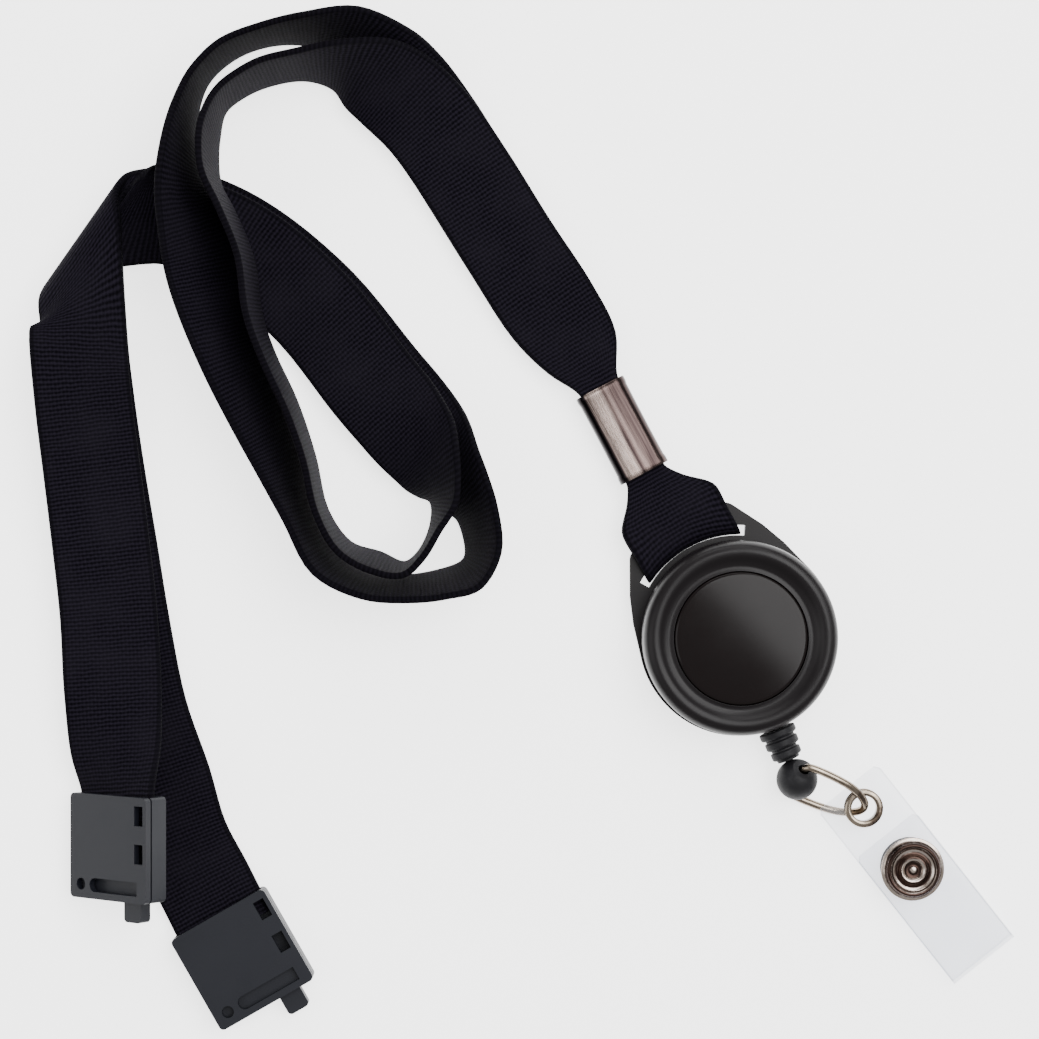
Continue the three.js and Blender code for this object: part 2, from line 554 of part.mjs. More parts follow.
const clip = new THREE.Group();
clip.position.copy(new THREE.Vector3(BAIL.reach, 0, 0).applyQuaternion(bailTurn).add(ballCentre));
clip.rotation.set(rad(CLIP_PLACE.slope), 0, rad(CLIP_PLACE.heading + 90), 'ZYX');
const backLow = -CLIP.sheet / 2;
const frontLow = CLIP.sheet / 2 + CLIP.space;
clip.add(part('clip_back_leg', clipLeg(-CLIP.head, CLIP.back, backLow, true), finish.vinyl()));
clip.add(part('clip_front_leg', clipLeg(CLIP.frontTop, CLIP.back, frontLow, false), finish.vinyl()));
clip.add(part('eyelet', eyelet(), finish.nickel()));
for (const [name, geometry] of Object.entries(snapPieces())) {
  clip.add(part(name, weld(geometry.translate(0, -SNAP.along, 0)), finish.nickel()));
}
holder.add(clip);

export default holder;
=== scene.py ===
"""Lanyard badge holder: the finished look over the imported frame, in metres."""
import json
import math

import bmesh
import bpy
from mathutils import Matrix, Quaternion, Vector


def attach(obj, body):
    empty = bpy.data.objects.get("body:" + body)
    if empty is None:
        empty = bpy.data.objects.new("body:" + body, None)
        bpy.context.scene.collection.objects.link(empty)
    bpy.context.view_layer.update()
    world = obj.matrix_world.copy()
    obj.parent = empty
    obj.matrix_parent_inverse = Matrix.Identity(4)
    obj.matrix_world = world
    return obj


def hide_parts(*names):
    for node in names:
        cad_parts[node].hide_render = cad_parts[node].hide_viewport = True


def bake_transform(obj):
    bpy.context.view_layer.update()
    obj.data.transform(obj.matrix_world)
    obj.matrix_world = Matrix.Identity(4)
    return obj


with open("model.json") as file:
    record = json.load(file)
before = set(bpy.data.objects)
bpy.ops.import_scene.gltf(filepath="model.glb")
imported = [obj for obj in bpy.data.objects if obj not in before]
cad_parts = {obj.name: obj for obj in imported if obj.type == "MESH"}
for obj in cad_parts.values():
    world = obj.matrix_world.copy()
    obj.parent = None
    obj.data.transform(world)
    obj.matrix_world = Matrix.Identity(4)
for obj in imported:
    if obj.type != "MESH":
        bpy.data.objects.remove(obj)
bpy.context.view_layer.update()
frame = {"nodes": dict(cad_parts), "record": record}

MM = 0.001
SHIFT = Vector((-0.973, 0.582, 0.0))          # centres the whole object's box on the origin

# ------------------------------------------------------------------ camera
CAMERA_HEIGHT = 475.0
VIEW_WIDTH = 173.2                           # width of the table that the picture covers
camera_data = bpy.data.cameras.new("camera")
camera_data.sensor_width = 36.0
camera_data.lens = camera_data.sensor_width * CAMERA_HEIGHT / VIEW_WIDTH
camera_data.clip_start = 0.01
camera = bpy.data.objects.new("camera", camera_data)
camera.location = (SHIFT.x * MM, SHIFT.y * MM, CAMERA_HEIGHT * MM)
bpy.context.scene.collection.objects.link(camera)
bpy.context.scene.camera = camera


# ------------------------------------------------------------------ places of the groups
def place(origin, x_axis, y_axis):
    """Matrix from a group's own millimetres to the row frame in metres."""
    x = Vector(x_axis).normalized()
    z = x.cross(Vector(y_axis)).normalized()
    y = z.cross(x)
    turn = Matrix((x, y, z)).transposed().to_4x4()
    return Matrix.Translation(Vector(origin) * MM) @ turn @ Matrix.Scale(MM, 4)


def heading(degrees, origin):
    """A group turned about Z."""
    c, s = math.cos(math.radians(degrees)), math.sin(math.radians(degrees))
    return place(Vector(origin) + SHIFT, (c, s, 0), (-s, c, 0))


ROW = Matrix.Translation(SHIFT * MM) @ Matrix.Scale(MM, 4)
REEL_TURN, CORD_TURN = 28.6, -67.7
REEL = heading(REEL_TURN, (36.15, -19.4, 0.0))
CORD_LINE = heading(CORD_TURN, (36.0, -18.9, 3.9))
CRIMP = heading(-152.2, (17.0, 14.8, 0.0))
BALL_REACH, BALL_RADIUS, BALL_FLAT, BALL_HOLE = 26.0, 3.4, 2.8, 0.95
BALL_CENTRE = CORD_LINE @ Vector((BALL_REACH, 0, 0)) / MM
BAIL = place(BALL_CENTRE, (0.91357, -0.39723, -0.08716), (0.34236, 0.63554, 0.69201))
BAIL_REACH, BAIL_WIRE = 12.2, 0.65
SNAP_ALONG = 12.5                            # from the eyelet's middle to the snap's
EYELET_CENTRE = BAIL @ Vector((BAIL_REACH, 0, 0)) / MM
CLIP = place(EYELET_CENTRE, (0.78369, 0.62115, 0), (-0.62018, 0.78247, 0.05582))


# ------------------------------------------------------------------ node materials
class Look:
    """A small builder for a procedural material."""

    def __init__(self, name, **values):
        self.material = bpy.data.materials.new(name)
        self.material.use_nodes = True
        self.tree = self.material.node_tree
        self.shader = self.tree.nodes["Principled BSDF"]
        self.output = self.tree.nodes["Material Output"]
        for key, value in values.items():
            self.set(self.shader, key.replace("_", " "), value)
        self.bump = None

    def set(self, node, key, value):
        socket = node.inputs[key]
        if isinstance(value, bpy.types.NodeSocket):
            self.tree.links.new(value, socket)
        elif isinstance(value, tuple) and len(value) == 3 and socket.type == "RGBA":
            socket.default_value = (*value, 1.0)
        else:
            socket.default_value = value

    def node(self, kind, inputs=(), out=0, **settings):
        node = self.tree.nodes.new("ShaderNode" + kind)
        for key, value in settings.items():
            setattr(node, key, value)
        for key, value in dict(inputs).items():
            self.set(node, key, value)
        return node.outputs[out]

    def math(self, operation, a, b=0.0, c=0.0):
        return self.node("Math", {0: a, 1: b, 2: c}, operation=operation)

    def place(self, kind="Object"):
        node = self.tree.nodes.new("ShaderNodeTexCoord")
        return node.outputs[kind]

    def scaled(self, vector, scale):
        return self.node("VectorMath", {0: vector, 1: scale}, operation="MULTIPLY")

    def noise(self, vector, scale, detail=4.0, rough=0.55, distort=0.0):
        return self.node("TexNoise", {"Vector": vector, "Scale": scale, "Detail": detail,
                                      "Roughness": rough, "Distortion": distort})

    def spread(self, value, low, high, to_low=0.0, to_high=1.0):
        return self.node("MapRange", {"Value": value, "From Min": low, "From Max": high,
                                      "To Min": to_low, "To Max": to_high}, clamp=True)

    def mix(self, factor, a, b):
        node = self.tree.nodes.new("ShaderNodeMix")
        node.data_type = "RGBA"
        for socket, value in ((node.inputs[0], factor), (node.inputs[6], a), (node.inputs[7], b)):
            if isinstance(value, bpy.types.NodeSocket):
                self.tree.links.new(value, socket)
            else:
                socket.default_value = (*value, 1.0) if isinstance(value, tuple) else value
        return node.outputs[2]

    def raise_by(self, height, distance, strength=1.0):
        inputs = {"Height": height, "Distance": distance, "Strength": strength}
        if self.bump is not None:
            inputs["Normal"] = self.bump
        self.bump = self.node("Bump", inputs)
        self.set(self.shader, "Normal", self.bump)


def weave():
    """Ribbed polyester tape. Its UV map is in millimetres: across, then along."""
    look = Look("strap_weave", Specular_IOR_Level=0.02)
    uv = look.node("SeparateXYZ", {0: look.place("UV")}, out=0)
    split = uv.node
    across, along = split.outputs[0], split.outputs[1]
    wobble = look.noise(look.place("UV"), 0.35, 3.0)
    along_now = look.math("ADD", along, look.math("MULTIPLY", wobble, 0.5))
    rib = look.math("SINE", look.math("MULTIPLY", along_now, 2 * math.pi / 0.68))
    wale_phase = look.math("MULTIPLY", across, 2 * math.pi / 0.62)
    wale = look.math("SINE", wale_phase)
    cross = look.math("MULTIPLY", look.math("COSINE", look.math("MULTIPLY", wale_phase, 0.5)),
                      look.math("COSINE", look.math("MULTIPLY", along_now, 2 * math.pi / 1.36)))
    height = look.math("MULTIPLY_ADD", rib, 0.34, 0.5)
    height = look.math("MULTIPLY_ADD", wale, 0.12, height)
    height = look.math("MULTIPLY_ADD", cross, 0.10, height)
    fibre = look.noise(look.scaled(look.place("UV"), (9.0, 1.6, 1.0)), 1.0, 5.0, 0.7)
    height = look.math("MULTIPLY_ADD", fibre, 0.22, height)
    edge = look.math("ABSOLUTE", look.math("SUBTRACT", across, 8.0))
    selvedge = look.spread(edge, 7.1, 7.5)
    worn = look.spread(look.noise(look.place("UV"), 0.09, 4.0, 0.6), 0.42, 0.70)
    # Painted shade: the thread colour is darker in the weave's valleys and lighter on its ribs, following
    # the height.
    thread = look.mix(look.spread(height, 0.25, 1.0), (0.0018, 0.0015, 0.0026), (0.0110, 0.0092, 0.0150))
    thread = look.mix(look.math("MULTIPLY", worn, 0.40), thread, (0.0120, 0.0105, 0.0150))
    thread = look.mix(look.math("MULTIPLY", selvedge, 0.65), thread, (0.0026, 0.0023, 0.0034))
    look.set(look.shader, "Base Color", thread)
    look.set(look.shader, "Roughness", look.spread(fibre, 0.3, 0.7, 0.62, 0.86))
    look.set(look.shader, "Sheen Weight", 0.006)
    look.set(look.shader, "Sheen Roughness", 0.5)
    look.raise_by(height, 0.00012, 0.9)
    look.raise_by(selvedge, 0.00010, 0.5)
    return look.material


def plastic(name, color, roughness, grain=900.0, depth=0.000012, scuff=(0.05, 0.045, 0.045), **more):
    """Moulded plastic with a fine grain, scuffs and uneven gloss."""
    look = Look(name, **more)
    where = look.place()
    fine = look.noise(where, grain * 3, 3.0)
    broad = look.noise(where, 90.0, 5.0, 0.6)
    scratch = look.noise(look.scaled(where, (1.0, 9.0, 1.0)), 420.0, 6.0, 0.75, 0.4)
    mark = look.math("MULTIPLY", look.spread(scratch, 0.62, 0.80), look.spread(broad, 0.45, 0.62))
    look.set(look.shader, "Base Color", look.mix(look.math("MULTIPLY", mark, 0.35), color, scuff))
    uneven = look.spread(broad, 0.3, 0.7, roughness * 0.86, roughness * 1.18)
    look.set(look.shader, "Roughness", look.math("MULTIPLY_ADD", mark, 0.16, uneven))
    look.raise_by(fine, depth, 0.5)
    return look.material


def metal(name, bright, dark, roughness, streaks=(1.0, 1.0, 1.0), scale=300.0):
    """Plated metal: tarnish in soft patches and a fine bump grain, both stretched by streaks."""
    look = Look(name, Metallic=1.0)
    where = look.place()
    patch = look.noise(look.scaled(where, streaks), scale, 5.0, 0.62, 0.3)
    fine = look.noise(look.scaled(where, streaks), scale * 7, 4.0, 0.6)
    tarnish = look.spread(patch, 0.38, 0.64)
    look.set(look.shader, "Base Color", look.mix(tarnish, bright, dark))
    look.set(look.shader, "Roughness", look.math("MULTIPLY_ADD", tarnish, 0.10, roughness))
    look.raise_by(fine, 0.000006, 0.5)
    return look.material


def crimp_metal():
    """Dark plated brass with streaks along the sleeve, a painted highlight band (and a weaker second one)
    across its rounded top and painted shade down one rounded side. Its UV map is in millimetres: round,
    along.
    """
    look = Look("crimp_metal", Metallic=1.0)
    where = look.place("UV")
    fine = look.noise(look.scaled(where, (7.0, 0.4, 1.0)), 1.0, 4.0, 0.6)
    streak = look.noise(look.scaled(where, (1.6, 0.06, 1.0)), 1.0, 4.0, 0.55)
    split = look.node("SeparateXYZ", {0: where}).node
    round_now = look.math("MULTIPLY_ADD", streak, 0.9, look.math("SUBTRACT", split.outputs[0], 0.45))
    # Painted highlight: the colour turns light in a band across the sleeve's top where a lamp would reflect,
    # and in a weaker second band beside it.
    painted_highlight_band = look.math("MULTIPLY", look.spread(round_now, 0.1, 0.8), look.spread(round_now, 3.1, 2.5))
    second_painted_highlight = look.math("MULTIPLY", look.spread(round_now, -1.3, -0.9), look.spread(round_now, -0.1, -0.5))
    tone = look.mix(look.spread(streak, 0.40, 0.62), (0.028, 0.019, 0.019), (0.070, 0.050, 0.046))
    painted_highlight_colour = look.mix(look.spread(fine, 0.35, 0.65), (0.30, 0.225, 0.195), (0.42, 0.34, 0.31))
    tone = look.mix(painted_highlight_band, tone, painted_highlight_colour)
    tone = look.mix(look.math("MULTIPLY", second_painted_highlight, 0.35), tone, (0.30, 0.22, 0.20))
    # Painted shade: the colour goes nearly black down the sleeve's rounded side.
    tone = look.mix(look.spread(round_now, 2.9, 3.3), tone, (0.010, 0.008, 0.009))
    look.set(look.shader, "Base Color", tone)
    look.set(look.shader, "Roughness", look.spread(fine, 0.3, 0.7, 0.20, 0.32))
    look.raise_by(fine, 0.000012, 0.5)
    return look.material


def snap_metal():
    """Antique nickel, dark, with painted reflections: light rings at set radii about the snap's axis."""
    look = Look("snap_nickel", Metallic=1.0)
    centre = CLIP @ Vector((0, -SNAP_ALONG, 0))
    axis = (CLIP.to_3x3() @ Vector((0, 0, 1))).normalized()
    where = look.place()
    arm = look.node("VectorMath", {0: where, 1: tuple(centre)}, operation="SUBTRACT")
    turn = look.node("VectorMath", {0: arm, 1: tuple(axis)}, operation="CROSS_PRODUCT")
    radius = look.node("VectorMath", {0: turn}, out=1, operation="LENGTH")
    broad = look.noise(where, 420.0, 4.0, 0.6)
    fine = look.noise(where, 2600.0, 4.0, 0.6)
    radius = look.math("MULTIPLY_ADD", broad, 0.0005, look.math("SUBTRACT", radius, 0.00025))
    # Painted reflections: light rings on the cap's rim, slopes and middle; dark elsewhere.
    light = look.spread(radius, 0.00462, 0.00478)
    for middle, half in ((0.00342, 0.00024), (0.00172, 0.00016), (0.0, 0.0004)):
        away = look.math("ABSOLUTE", look.math("SUBTRACT", radius, middle))
        ring = look.spread(away, half + 0.0002, half)
        light = look.math("MAXIMUM", light, ring)
    bright = look.mix(look.spread(broad, 0.35, 0.65), (0.40, 0.33, 0.28), (0.55, 0.48, 0.43))
    look.set(look.shader, "Base Color", look.mix(light, (0.035, 0.022, 0.018), bright))
    look.set(look.shader, "Roughness", look.spread(fine, 0.3, 0.7, 0.17, 0.28))
    look.raise_by(fine, 0.000008, 0.5)
    return look.material


def rubber(name, color, roughness):
    look = Look(name, Specular_IOR_Level=0.22)
    where = look.place()
    grain = look.noise(where, 3600.0, 4.0, 0.65)
    dust = look.spread(look.noise(where, 520.0, 5.0, 0.7), 0.5, 0.72)
    dusty = look.mix(look.math("MULTIPLY", dust, 0.3), color, (0.03, 0.029, 0.032))
    look.set(look.shader, "Base Color", dusty)
    look.set(look.shader, "Roughness", look.spread(grain, 0.3, 0.7, roughness - 0.06, roughness + 0.08))
    look.raise_by(grain, 0.00003, 0.5)
    return look.material


def braid(name, color):
    """Fine braided cord, twisted about its own axis."""
    look = Look(name, Roughness=0.7)
    where = look.place()
    weave_wave = look.node("TexWave", {"Vector": where, "Scale": 900.0, "Distortion": 1.5,
                                       "Detail": 2.0}, bands_direction="DIAGONAL", out=1)
    look.set(look.shader, "Base Color", look.mix(weave_wave, color, (0.04, 0.04, 0.042)))
    look.raise_by(weave_wave, 0.00005, 0.8)
    return look.material


def vinyl():
    """Clear flexible vinyl, a little cloudy, with faint scuffs and a glossy skin."""
    look = Look("clear_vinyl", Base_Color=(0.80, 0.82, 0.86), Roughness=0.16)
    where = look.place()
    cloud = look.noise(where, 140.0, 5.0, 0.6)
    scuff = look.noise(look.scaled(where, (1.0, 6.0, 1.0)), 500.0, 6.0, 0.75, 0.3)
    look.set(look.shader, "Roughness", look.spread(cloud, 0.3, 0.7, 0.12, 0.26))
    look.raise_by(look.noise(where, 260.0, 3.0), 0.00008, 0.25)
    rim = look.node("SeparateXYZ", {0: look.place("UV")}).node.outputs[0]
    rim = look.spread(look.math("ABSOLUTE", rim), 5.95, 6.15)
    tint = look.mix(rim, (0.930, 0.935, 0.948), (0.84, 0.845, 0.86))
    clear = look.node("BsdfTransparent", {"Color": tint})
    facing = look.node("LayerWeight", {"Blend": 0.32}, out=1)
    haze = look.math("MULTIPLY_ADD", look.spread(cloud, 0.35, 0.7), 0.03, 0.03)
    haze = look.math("MULTIPLY_ADD", look.spread(scuff, 0.64, 0.82), 0.06, haze)
    cover = look.math("MULTIPLY_ADD", facing, 0.35, haze)
    both = look.node("MixShader", {0: cover, 1: clear, 2: look.shader.outputs[0]})
    look.tree.links.new(both, look.output.inputs["Surface"])
    return look.material


LOOKS = {
    "strap_weave": weave(),
    "crimp_metal": crimp_metal(),
    "clasp_plastic": plastic("clasp_plastic", (0.0075, 0.0083, 0.0125), 0.46, scuff=(0.030, 0.031, 0.040),
                             Specular_IOR_Level=0.26),
    "case_plastic": plastic("case_plastic", (0.0055, 0.0042, 0.0048), 0.36, scuff=(0.02, 0.018, 0.018),
                            Specular_IOR_Level=0.20),
    "face_plastic": plastic("face_plastic", (0.0060, 0.0042, 0.0042), 0.15, depth=0.000003,
                            scuff=(0.02, 0.018, 0.018), Specular_IOR_Level=0.14),
    "inner_plastic": plastic("inner_plastic", (0.70, 0.68, 0.62), 0.45, scuff=(0.5, 0.48, 0.44)),
    "spring_steel": metal("spring_steel", (0.42, 0.43, 0.46), (0.22, 0.22, 0.26), 0.28),
    "cord_thread": braid("cord_thread", (0.010, 0.010, 0.011)),
    "stop_rubber": rubber("stop_rubber", (0.0060, 0.0058, 0.0072), 0.55),
    "antique_nickel": metal("antique_nickel", (0.36, 0.30, 0.235), (0.045, 0.030, 0.022), 0.17, scale=170.0),
    "snap_nickel": snap_metal(),
    "clear_vinyl": vinyl(),
}
SLOT_OF = {part["node"]: part["material_slot"] for part in frame["record"]["subparts"]}


# ------------------------------------------------------------------ mesh helpers
def smooth(mesh, sharp_degrees=34):
    """Smooth shading that keeps real corners crisp."""
    work = bmesh.new()
    work.from_mesh(mesh)
    bmesh.ops.recalc_face_normals(work, faces=work.faces)
    for face in work.faces:
        face.smooth = True
    for edge in work.edges:
        edge.smooth = not edge.is_manifold or edge.calc_face_angle(0) < math.radians(sharp_degrees)
    work.to_mesh(mesh)
    work.free()


def piece(name, verts, faces, matrix, slot, body=None, nodes=(), uvs=None, sharp=34):
    """A mesh piece from points in a group's own millimetres."""
    mesh = bpy.data.meshes.new(name)
    mesh.from_pydata([matrix @ Vector(v) for v in verts], [], faces)
    if uvs is not None:
        layer = mesh.uv_layers.new(name="UVMap")
        for loop in mesh.loops:
            layer.data[loop.index].uv = uvs[loop.vertex_index]
    smooth(mesh, sharp)
    obj = bpy.data.objects.new(name, mesh)
    bpy.context.scene.collection.objects.link(obj)
    obj.data.materials.append(LOOKS[slot])
    if nodes:
        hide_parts(*nodes)
    if body:
        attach(obj, body)
    return obj


def carve(obj, cutters):
    """Cuts other pieces out of a piece, and removes them."""
    for cutter in cutters:
        modifier = obj.modifiers.new("carve", "BOOLEAN")
        modifier.object = cutter
        modifier.operation = "DIFFERENCE"
        modifier.solver = "EXACT"
    bpy.context.view_layer.update()
    shape = obj.evaluated_get(bpy.context.evaluated_depsgraph_get())
    mesh = bpy.data.meshes.new_from_object(shape)
    obj.modifiers.clear()
    obj.data = mesh
    for cutter in cutters:
        bpy.data.objects.remove(cutter)
    smooth(mesh)


def skin(rings, count, closed=False):
    """Faces between rings of points that follow each other."""
    return [(i * count + k, i * count + (k + 1) % count,
             (i + 1) % rings * count + (k + 1) % count, (i + 1) % rings * count + k)
            for i in range(rings if closed else rings - 1) for k in range(count)]


def rounded(points, radius, steps=5):
    """A profile with its inner corners filleted."""
    result = [Vector(points[0])]
    for before, here, after in zip(points, points[1:], points[2:]):
        here = Vector(here)
        back, on = Vector(before) - here, Vector(after) - here
        cut = min(radius, back.length * 0.45, on.length * 0.45)
        first, last = here + back.normalized() * cut, here + on.normalized() * cut
        for k in range(steps + 1):
            t = k / steps
            result.append(first * (1 - t) ** 2 + here * 2 * t * (1 - t) + last * t ** 2)
    result.append(Vector(points[-1]))
    return result


def lathe(profile, sides=128, closed=True):
    """Vertices and faces of a ring turned about local Z, from (radius, height) pairs."""
    count = len(profile)
    verts = [(r * math.cos(a), r * math.sin(a), h)
             for a in (2 * math.pi * k / sides for k in range(sides)) for r, h in profile]
    spans = range(count if closed else count - 1)
    faces = [(k * count + i, ((k + 1) % sides) * count + i,
              ((k + 1) % sides) * count + (i + 1) % count, k * count + (i + 1) % count)
             for k in range(sides) for i in spans]
    return verts, faces


def turned(name, profile, matrix, slot, body=None, nodes=(), fillet=0.15, sides=128):
    """A turned piece. A profile that starts and ends on the axis makes a solid disc."""
    on_axis = profile[0][0] == 0 and profile[-1][0] == 0
    if on_axis:
        shape = rounded(profile, fillet)
        shape[0], shape[-1] = Vector((1e-4, shape[0][1])), Vector((1e-4, shape[-1][1]))
        verts, faces = lathe([tuple(p) for p in shape], sides, closed=False)
        count = len(shape)
        faces.append([k * count for k in range(sides)])
        faces.append([k * count + count - 1 for k in reversed(range(sides))])
    else:
        ring = list(profile) + [profile[0], profile[1]]
        shape = rounded(ring, fillet)[1:-1]
        verts, faces = lathe([tuple(p) for p in shape], sides)
    return piece(name, verts, faces, matrix, slot, body, nodes)


def tube(points, radius, sides=20):
    """A round wire along points, with capped ends."""
    tangents = [(points[min(i + 1, len(points) - 1)] - points[max(i - 1, 0)]).normalized()
                for i in range(len(points))]
    side = tangents[0].orthogonal().normalized()
    verts, faces = [], skin(len(points), sides)
    for point, tangent in zip(points, tangents):
        side = (side - tangent * side.dot(tangent)).normalized()
        other = tangent.cross(side)
        for k in range(sides):
            a = 2 * math.pi * k / sides
            verts.append(point + (side * math.cos(a) + other * math.sin(a)) * radius)
    faces.append(list(reversed(range(sides))))
    faces.append(list(range(len(verts) - sides, len(verts))))
    return verts, faces


def spline(keys, per_span):
    """Smooth curve through keys, each a list of numbers whose first three are a point."""
    knots = [0.0]
    for a, b in zip(keys, keys[1:]):
        knots.append(knots[-1] + math.dist(a[:3], b[:3]) ** 0.5)
    slopes = []
    for i, key in enumerate(keys):
        lo, hi = max(i - 1, 0), min(i + 1, len(keys) - 1)
        slope = []
        for c in range(len(key)):
            back = (key[c] - keys[lo][c]) / (knots[i] - knots[lo]) if i > lo else None
            on = (keys[hi][c] - key[c]) / (knots[hi] - knots[i]) if hi > i else None
            if back is None or on is None:
                slope.append(on if back is None else back)
            else:
                share = (knots[i] - knots[lo]) / (knots[hi] - knots[lo])
                slope.append(back * (1 - share) + on * share)
        slopes.append(slope)
    result = []
    for i in range(len(keys) - 1):
        h = knots[i + 1] - knots[i]
        for k in range(per_span + (i == len(keys) - 2)):
            t = k / per_span
            a, b = 2 * t ** 3 - 3 * t ** 2 + 1, t ** 3 - 2 * t ** 2 + t
            c, d = 3 * t ** 2 - 2 * t ** 3, t ** 3 - t ** 2
            result.append([a * p + b * h * m + c * q + d * h * n for p, q, m, n in
                           zip(keys[i], keys[i + 1], slopes[i], slopes[i + 1])])
    return result


# ------------------------------------------------------------------ the strap
# Stations of each strand's middle line, from the crimp to its clasp: x, y, z in millimetres before
# the shift, and the roll of the tape about its travel. A fifth value marks a ruling of the fold:
# its heading, with the fourth value as its rise.
FOLD_LINE, FOLD_STRETCH = 54, 1.38
STRAND_1 = [
    [14.3, 20.0, 1.75, 0], [13.0, 22.4, 1.75, 0], [10.4, 27.6, 1.2, 0], [5.6, 34.4, 0.75, 0],
    [-1.6, 45.4, 0.75, 0], [-9.1, 57.4, 0.75, 0], [-14.9, 66.4, 1.1, 3], [-19.4, 72.4, 3.2, 20],
    [-23.3, 76.6, 6.0, 42], [-28.3, 79.7, 7.8, 64], [-35.2, 80.3, 8.3, 82], [-42.0, 79.3, 8.4, 88],
    [-48.0, 76.9, 8.4, 88], [-52.2, 72.9, 8.4, 88], [-54.2, 67.9, 9.0, 85], [-55.0, 60.8, 11.0, 76],
    [-55.1, 54.2, 12.3, 68], [-53.5, 47.8, 11.0, 54], [-51.6, 40.5, 9.8, 47], [-49.5, 33.0, 10.3, 52],
    [-46.4, 24.8, 10.2, 57], [-42.8, 17.0, 9.0, 60], [-39.5, 9.4, 7.9, 66], [-36.2, 0.6, 8.1, 77],
    [-31.8, -7.4, 8.2, 77], [-25.0, -11.0, 8.3, 79], [-18.0, -11.3, 8.3, 77], [-12.3, -10.5, 8.2, 75],
    [-7.9, -9.0, 8.1, 72], [-6.0, -5.3, 8.1, 70], [-6.9, 0.9, 7.9, 66], [-8.4, 4.1, 7.4, 59],
    [-10.2, 7.2, 6.6, 50], [-12.4, 10.3, 4.8, 34], [-15.0, 13.4, 3.2, 20], [-18.7, 17.9, 1.7, 8],
    [-23.4, 23.4, 0.75, 0], [-33.4, 35.6, 0.75, 0], [-44.4, 44.9, 0.75, 0],
    [-52.0, 49.0, 0.8, 1], [-59.2, 51.2, 3.4, 16], [-66.6, 49.2, 4.4, 14, FOLD_LINE],
    [-70.2, 48.4, 4.6, 10, FOLD_LINE],
    [-71.9, 46.6, 6.0, 6, FOLD_LINE], [-72.4, 44.2, 7.6, 3, FOLD_LINE],
    [-72.0, 41.0, 8.6, 0, FOLD_LINE], [-72.2, 31.0, 9.2, 200], [-71.6, 20.0, 7.7, 198],
    [-70.4, 8.0, 5.7, 194], [-69.0, -4.4, 4.9, 192], [-67.8, -16.0, 4.5, 190],
    [-67.1, -28.0, 4.9, 186], [-66.4, -38.0, 6.4, 164], [-65.9, -44.6, 7.4, 144],
    [-65.9, -49.2, 7.5, 142],
]
STRAND_2 = [
    [14.3, 20.0, 3.25, 0], [13.0, 22.4, 3.25, 0], [10.4, 27.6, 2.7, 0], [5.6, 34.4, 2.25, 0],
    [-1.6, 45.4, 2.25, 0], [-9.1, 57.4, 2.25, 0], [-15.2, 66.0, 2.8, 3], [-20.6, 70.8, 5.0, 20],
    [-25.2, 73.2, 7.6, 44], [-30.2, 74.4, 8.6, 70], [-36.0, 74.4, 8.5, 82], [-41.6, 73.3, 8.4, 84],
    [-45.8, 71.3, 8.4, 86], [-48.8, 68.8, 8.7, 88], [-50.2, 65.0, 9.4, 86], [-50.8, 60.6, 10.8, 85],
    [-50.3, 55.6, 11.8, 86], [-47.8, 50.4, 11.9, 86], [-44.7, 42.6, 11.7, 86], [-43.4, 33.4, 11.5, 86],
    [-41.0, 26.4, 10.9, 86], [-37.4, 18.4, 9.4, 86], [-34.6, 10.0, 8.6, 87], [-32.6, 1.4, 8.4, 87],
    [-28.8, -4.6, 8.4, 84], [-23.6, -7.0, 8.4, 80], [-19.0, -8.2, 8.4, 84], [-16.2, -6.0, 8.4, 86],
    [-13.8, -1.6, 8.4, 84], [-12.4, 2.8, 8.3, 74], [-13.2, 5.4, 8.3, 62], [-14.4, 8.4, 8.0, 48],
    [-15.6, 11.2, 6.6, 34], [-17.9, 14.3, 5.3, 20], [-20.6, 17.8, 4.1, 8], [-24.6, 22.6, 2.9, 0],
    [-34.2, 34.8, 2.25, 0], [-45.0, 44.1, 2.25, 0], [-52.3, 47.9, 2.3, 1],
    [-59.4, 50.0, 4.9, 16], [-66.6, 49.1, 6.0, 14, FOLD_LINE], [-68.8, 47.3, 6.2, 10, FOLD_LINE],
    [-70.5, 45.6, 6.2, 6, FOLD_LINE], [-71.6, 43.5, 6.5, 3, FOLD_LINE],
    [-71.9, 41.0, 6.9, 0, FOLD_LINE], [-72.3, 31.0, 7.3, 200], [-71.4, 20.0, 5.6, 198],
    [-70.0, 8.0, 3.6, 194], [-68.0, -5.0, 2.6, 190], [-66.0, -18.0, 1.6, 184],
    [-63.2, -32.0, 0.8, 180], [-59.2, -43.6, 0.75, 180], [-56.4, -53.0, 0.75, 180],
    [-52.4, -60.6, 1.2, 180], [-48.3, -68.4, 2.4, 180],
]
LOOP_ALONG = [
    [12.2, 3.25], [10.9, 3.25], [8.2, 3.8], [4.6, 4.5], [1.2, 4.7], [-1.3, 4.3], [-2.2, 2.8],
    [-1.5, 1.0], [0.8, 0.8], [4.6, 0.8], [8.2, 1.3], [10.9, 1.75], [12.2, 1.75],
]
TAPE_WIDTH, TAPE_THICK, GATHERED, GATHER_LENGTH = 16.0, 1.15, 7.2, 12.0


def smoothstep(value, low, high):
    t = min(max((value - low) / (high - low), 0.0), 1.0)
    return t * t * (3 - 2 * t)


